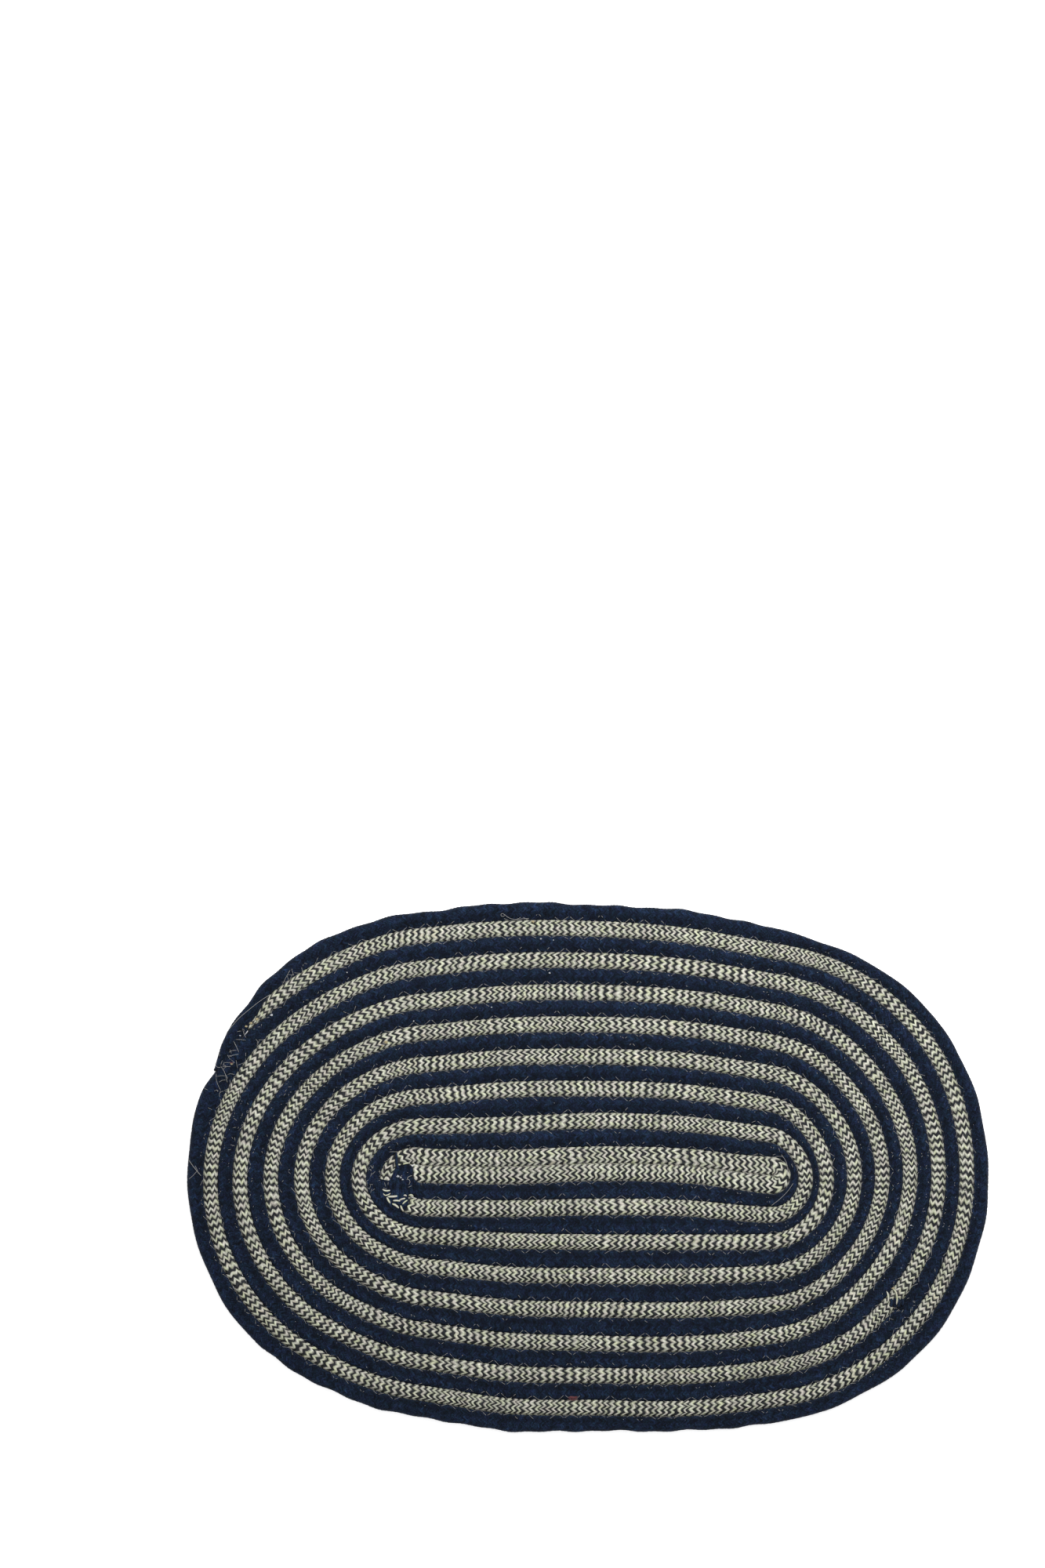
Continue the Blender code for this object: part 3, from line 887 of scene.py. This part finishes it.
# The loose threads.
# Ends of the sewing thread lie on the face where the machine started, stopped and turned. Beyond
# the tweed's outer end, where navy meets navy, its stitches run every way.
LOOSE_THREADS = (
    # mm thick, mm above the rows, then X and Y of its points in mm
    (0.30, 0.7, (-239, 129.5), (-247, 124), (-254.5, 118), (-261.5, 112), (-266, 107),
     (-270, 102.5), (-272, 98.5)),
    (0.24, 0.6, (-229.5, 137), (-226.5, 143), (-223.5, 148.5)),
    (0.24, 0.6, (-222.5, 149.5), (-222, 147), (-221, 144.5)),
    (0.22, 0.6, (-225.5, 144.5), (-223.5, 144.5), (-220.5, 144.5)),
    (0.22, 0.6, (-226, 144), (-225, 141), (-225, 138.5)),
    (0.22, 0.6, (-215, 150.5), (-214.5, 146.5)),
    (0.24, 0.6, (-263.5, 101.5), (-260.5, 102)),
    (0.27, 0.7, (-259.5, 102), (-259, 103.5), (-258, 102.5), (-258.5, 101), (-257.5, 98.5),
     (-256.5, 97)),
    (0.24, 0.6, (-264.5, 95.5), (-261, 95.5), (-257, 95)),
    (0.29, 0.6, (-266, 94.5), (-264, 90.5), (-262, 86)),
    (0.24, 0.6, (-269.5, 86), (-267, 87), (-263.5, 87.5)),
    (0.26, 0.6, (-270, 83), (-266.5, 83.5), (-262, 84.5)),
    (0.22, 0.6, (-270.5, 84), (-269.5, 82), (-268, 80)),
    (0.22, 0.6, (-273, 78), (-271, 78), (-268, 78)),
    (0.24, 0.6, (-274.5, 75), (-271.5, 75), (-268, 75)),
    (0.22, 0.6, (-264, 80), (-263.5, 77), (-263, 74)),
    (0.29, 0.6, (-275.5, 75.5), (-272.5, 70.5), (-270.5, 63)),
    (0.24, 0.6, (-278.5, 67.5), (-275.5, 68), (-272, 68)),
    (0.26, 0.6, (-277, 63), (-274.5, 64.5), (-271.5, 65)),
    (0.22, 0.6, (-279, 66.5), (-278.5, 64), (-277.5, 61), (-275.5, 57)),
    (0.22, 0.6, (-270.5, 69), (-268, 69.5), (-265, 69)),
    (0.22, 0.6, (-280.5, 56.5), (-279, 57), (-277, 57)),
    (0.27, 0.6, (-280, 79.5), (-279.5, 76.5), (-278, 74.5), (-275.5, 74.5)),
    (0.34, 0.7, (-300, 5.5), (-295.5, -1), (-290, -7.5)),
    (0.27, 0.7, (-294.5, 0), (-293, -3), (-292, -6)),
    (0.24, 0.7, (-299, -10), (-296, -7.5), (-293, -4)),
    (0.27, 0.8, (-44.5, 187.5), (-49.5, 187), (-55, 186.5), (-59, 187.5), (-62, 189.5), (-64, 191),
     (-65.5, 190.5), (-65, 189), (-63.5, 189), (-62, 190.5)),
    (0.27, 0.8, (137, -30), (143, -25.5), (149, -19.5), (153.5, -13)),
    (0.27, 0.8, (144.5, 8.5), (147.5, 4), (149, -0.5), (149, -6)),
    (0.22, 0.8, (137.5, 5.5), (141, 7), (145.5, 7)),
    (0.37, 1.9, (-134.5, -14.5), (-133.5, -12.5), (-134, -11), (-135.5, -10), (-134.5, -8.5),
     (-132, -7.5)),
    (0.27, 0.9, (-149, 10.5), (-146, 10.5), (-142, 10.5)),
    (0.34, 0.8, (-171.5, 83), (-169, 85), (-166.5, 85), (-163, 86), (-160, 89.5), (-156, 91),
     (-151.5, 92.5)),
    (0.24, 0.8, (-153.5, 66), (-150.5, 70), (-147, 68)),
    (0.24, 0.8, (222, -107.5), (226, -107), (231, -107.5)),
    (0.24, 0.8, (232, -99.5), (232.5, -103), (232, -107)),
)
THREAD_DIP = 0.9 * MM  # how far an end goes down between the yarns
TICK_REACH = (0.7, 1.9)  # half a short end's length, in mm
TICKS = (
    # short ends where the sewing is thickest: X and Y of a patch's middle, its half width and half
    # height, mm above the rows, how many ends
    (-164, -6, 4, 14, 0.6, 20),
    (-145, -14, 13, 11, 1.6, 10),
    (-274, 72, 7, 18, 0.6, 14),
    (-272, 40, 16, 40, 0.6, 26),
    (-240, 70, 20, 40, 0.6, 20),
    (-150, 20, 20, 8, 0.6, 8),
    (150, -12, 8, 26, 0.6, 10),
    (232, -112, 12, 12, 0.6, 8),
)


def lying(points, rise, bow):
    """A smooth line through points given as X and Y in mm, rise above the rows' height. Its ends
    dip between the yarns, and between them it bows up like half a sine wave."""
    flat = np.column_stack([np.asarray(points, float), np.zeros(len(points))])
    line = through(flat, 0.7 * MM)
    share = np.linspace(0, 1, len(line))
    dip = THREAD_DIP * (np.clip(1 - 8 * share, 0, 1) + np.clip(8 * share - 7, 0, 1))
    line[:, 2] = RUG_THICKNESS + rise + bow * np.sin(np.pi * share) - dip
    return line


loose_rng = np.random.default_rng(31)
loose_tubes = []
for thick, rise, *points in LOOSE_THREADS:
    line = lying(points, rise * MM, 0.4 * MM)
    loose_tubes.append(thread_tube(line, np.full(len(line), thick / 2 * MM), 5))
for x, y, half_width, half_height, rise, count in TICKS:
    middle = np.array([x, y]) + loose_rng.uniform(-1, 1, (count, 2)) * [half_width, half_height]
    heading = loose_rng.uniform(0, np.pi, count)
    length = loose_rng.uniform(*TICK_REACH, count)[:, None]
    reach = length * np.stack([np.cos(heading), np.sin(heading)], -1)
    for first, last in zip(middle - reach, middle + reach):
        line = lying([first, (first + last) / 2, last], rise * MM, 0.3 * MM)
        loose_tubes.append(thread_tube(line, np.full(len(line), THREAD_RADIUS), 4))
loose = skin("loose_threads", loose_tubes, sewing_thread)
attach(loose, "root")

# The lint and stray fibres.
# White cotton lint clings to the navy rows, a few tan tufts of raw cotton stick out where cream
# yarn was pieced, and some rust red hairs were plaited in by chance.
LINT = (
    # X, Y, size across and height above the rows in mm
    (-237.5, 114, 1.9, 0.4),
    (-181, 146.5, 1.0, 0.4),
    (-131, 109.5, 1.0, 0.4),
    (-35.5, 172, 1.2, 0.4),
    (-29, 146, 1.3, 0.4),
    (-26, 171, 0.9, 0.4),
    (-72.5, 120, 1.0, 0.4),
    (241.5, -45, 1.2, 0.4),
    (-261, 98.5, 1.2, 0.4),
    (-142.5, -8, 2.2, 1.3),
    (-140.5, -9, 2.0, 1.3),
    (-139, -10.5, 1.4, 1.4),
    (-154, -12, 1.2, 1.2),
)
TUFTS = (
    (-41.5, 185, 2.2, 0.5),
    (-151.5, 93.5, 2.6, 0.5),
    (-154.5, 91, 1.8, 0.5),
    (-267.5, 77, 1.6, 0.4),
    (228, -92.5, 2.0, 0.5),
    (-248.5, 111, 2.4, 0.5),
    (-253, 108, 2.2, 0.4),
    (-256.5, 105.5, 1.8, 0.3),
)
HAIRS = (
    # X and Y of the middle of each bunch, its half width and half height in mm, and how many hairs
    (-11.6, -175.2, 3.2, 1.2, 26),
    (-267, 77.5, 1.4, 1.0, 4),
)
HAIR_RADIUS = 0.14 * MM
HAIR_SPECK = 0.4 * MM  # how wide a hair of cotton shows in lint and tufts


def clump(x, y, across, rise, rng):
    """A soft lump as a grid for skin(): rings of an ellipsoid, each point moved in or out by
    chance. It lies flat, and its poles point along X."""
    rings, sides = 7, 9
    tilt = np.linspace(0.06, 0.94, rings)[:, None] * np.pi
    turn = 2 * np.pi * np.arange(sides) / sides
    size = across / 2 * (1 + 0.25 * rng.standard_normal((rings, sides)))
    dx = -size * np.cos(tilt)
    dy = 0.8 * size * np.sin(tilt) * np.cos(turn)
    dz = 0.45 * size * np.sin(tilt) * np.sin(turn)
    points = np.stack([x + dx, y + dy, RUG_THICKNESS + rise + dz], -1)
    place = np.stack([dx, dy], -1) / MM
    return points, np.concatenate([place, place[:, :1]], 1)


def fuzz_material(name, colour, darker):
    """Loose cotton: two shades that mingle in hair-like specks, quite matt, with a soft sheen. Real
    hairs are 0.02 mm thick, too fine to show, so the specks are coarser."""
    material = plain_material(name, {"Roughness": 1.0, "Sheen Weight": 0.3})
    tree = material.node_tree
    object_at = add(tree, "TexCoord").outputs["Object"]
    hairs = add(tree, "TexNoise", {"Vector": object_at, "Scale": 1 / HAIR_SPECK, "Detail": 2.0})
    ramp = add(tree, "ValToRGB", (hairs.outputs[0],))
    ramp.color_ramp.elements[0].color = linear(darker)
    ramp.color_ramp.elements[1].color = linear(colour)
    tree.links.new(ramp.outputs[0], tree.nodes["Principled BSDF"].inputs["Base Color"])
    return material


LINT_COUNT = 60  # smaller specks, scattered over the whole rug
lint_rng = np.random.default_rng(47)
scattered = np.column_stack([
    lint_rng.uniform(-270, 270, LINT_COUNT),
    lint_rng.uniform(-165, 165, LINT_COUNT),
    lint_rng.uniform(0.3, 0.6, LINT_COUNT),
    np.full(LINT_COUNT, 0.35),
])
within = (scattered[:, 0] / 290) ** 2 + (scattered[:, 1] / 190) ** 2 < 1
# Bleached cotton: bright specks that look soft, with grey where their hairs shade each other.
white_lint = fuzz_material("white_cotton_lint", "#C4C7CC", "#7E828A")
# Unbleached cotton: the same, but tan and duller.
raw_cotton = fuzz_material("raw_cotton", "#B4A982", "#6E6248")
for name, rows, cotton in (
    ("lint", (*LINT, *scattered[within]), white_lint),
    ("cotton_tufts", TUFTS, raw_cotton),
):
    grids = [clump(*(value * MM for value in row), lint_rng) for row in rows]
    tuft = skin(name, grids, cotton)
    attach(tuft, "root")

hair_tubes = []
for x, y, half_width, half_height, count in HAIRS:
    middle = np.array([x, y]) + lint_rng.uniform(-1, 1, (count, 2)) * [half_width, half_height]
    reach = np.array([1.3, 0.0]) + lint_rng.uniform(-1, 1, (count, 2)) * [0.5, 0.35]
    bend = lint_rng.uniform(-0.4, 0.4, (count, 2))
    for points in zip(middle - reach, middle + bend, middle + reach):
        line = lying(points, 0.5 * MM, 0.3 * MM)
        hair_tubes.append(thread_tube(line, np.full(len(line), HAIR_RADIUS), 4))
# Dyed cotton hairs: so thin that the navy below shows between them, and they look a dull dark red.
red_cotton = fuzz_material("rust_red_cotton", "#7C3238", "#431D24")
hairs = skin("red_hairs", hair_tubes, red_cotton)
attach(hairs, "root")

# The floor, the light and the camera.
# A pale matt floor under soft white light from above, and a camera that looks down steeply through
# a long lens, with the rug in the lower half of the picture.
FLOOR = 4.0  # half a side
floor_corners = [(-FLOOR, -FLOOR, 0), (FLOOR, -FLOOR, 0), (FLOOR, FLOOR, 0), (-FLOOR, FLOOR, 0)]
floor_mesh = bpy.data.meshes.new("floor")
floor_mesh.from_pydata(floor_corners, [], [(0, 1, 2, 3)])
floor = bpy.data.objects.new("floor", floor_mesh)
bpy.context.scene.collection.objects.link(floor)
# Matt white paper, lit from below too: evenly white, without gloss and with hardly a shadow.
floor_finish = {
    "Base Color": linear("#FAFAFA"),
    "Roughness": 1.0,
    "Specular IOR Level": 0.0,
    "Emission Color": linear("#FFFFFF"),
    "Emission Strength": 0.66,
}
floor_mesh.materials.append(plain_material("matt_white_paper", floor_finish))

world = bpy.data.worlds.new("studio")
world.use_nodes = True
world.node_tree.nodes["Background"].inputs[0].default_value = linear("#FFFFFF")
world.node_tree.nodes["Background"].inputs[1].default_value = 0.545
bpy.context.scene.world = world
lamp = bpy.data.lights.new("softbox", "AREA")
lamp.shape = "DISK"
lamp.size = 0.9
lamp.energy = 20.5
softbox = bpy.data.objects.new("softbox", lamp)
softbox.location = (0.20, 0.62, 1.15)
bpy.context.scene.collection.objects.link(softbox)

FRAME_WIDTH, FRAME_HEIGHT = 1333, 2000  # the photograph's, in pixels
FOCAL_PIXELS = 20000  # how long the lens is, in those pixels
SENSOR = 36.0  # mm
RUG_PIXEL = (750.5, 1487.1)  # where the middle of the rug lies in the frame
MM_PER_PIXEL = 0.587
LOOK_DOWN = 80.7  # degrees that the lens points down
camera_data = bpy.data.cameras.new("camera")
camera_data.sensor_width = SENSOR
camera_data.lens = FOCAL_PIXELS / FRAME_HEIGHT * SENSOR
camera_data.clip_end = 50
camera = bpy.data.objects.new("camera", camera_data)
bpy.context.scene.collection.objects.link(camera)
bpy.context.scene.camera = camera
down = math.radians(LOOK_DOWN)
ahead = np.array([0.0, math.cos(down), -math.sin(down)])
upward = np.array([0.0, math.sin(down), math.cos(down)])
right_px, up_px = RUG_PIXEL[0] - FRAME_WIDTH / 2, FRAME_HEIGHT / 2 - RUG_PIXEL[1]
depth = FOCAL_PIXELS * MM_PER_PIXEL * MM
rug_middle = np.array([0.0, 0.0, RUG_THICKNESS])
sideways = np.array([1.0, 0, 0]) * right_px / FOCAL_PIXELS
camera.location = rug_middle - depth * (ahead + sideways + upward * up_px / FOCAL_PIXELS)
camera.rotation_euler = (math.radians(90 - LOOK_DOWN), 0, 0)
bpy.context.scene.view_settings.view_transform = "Standard"
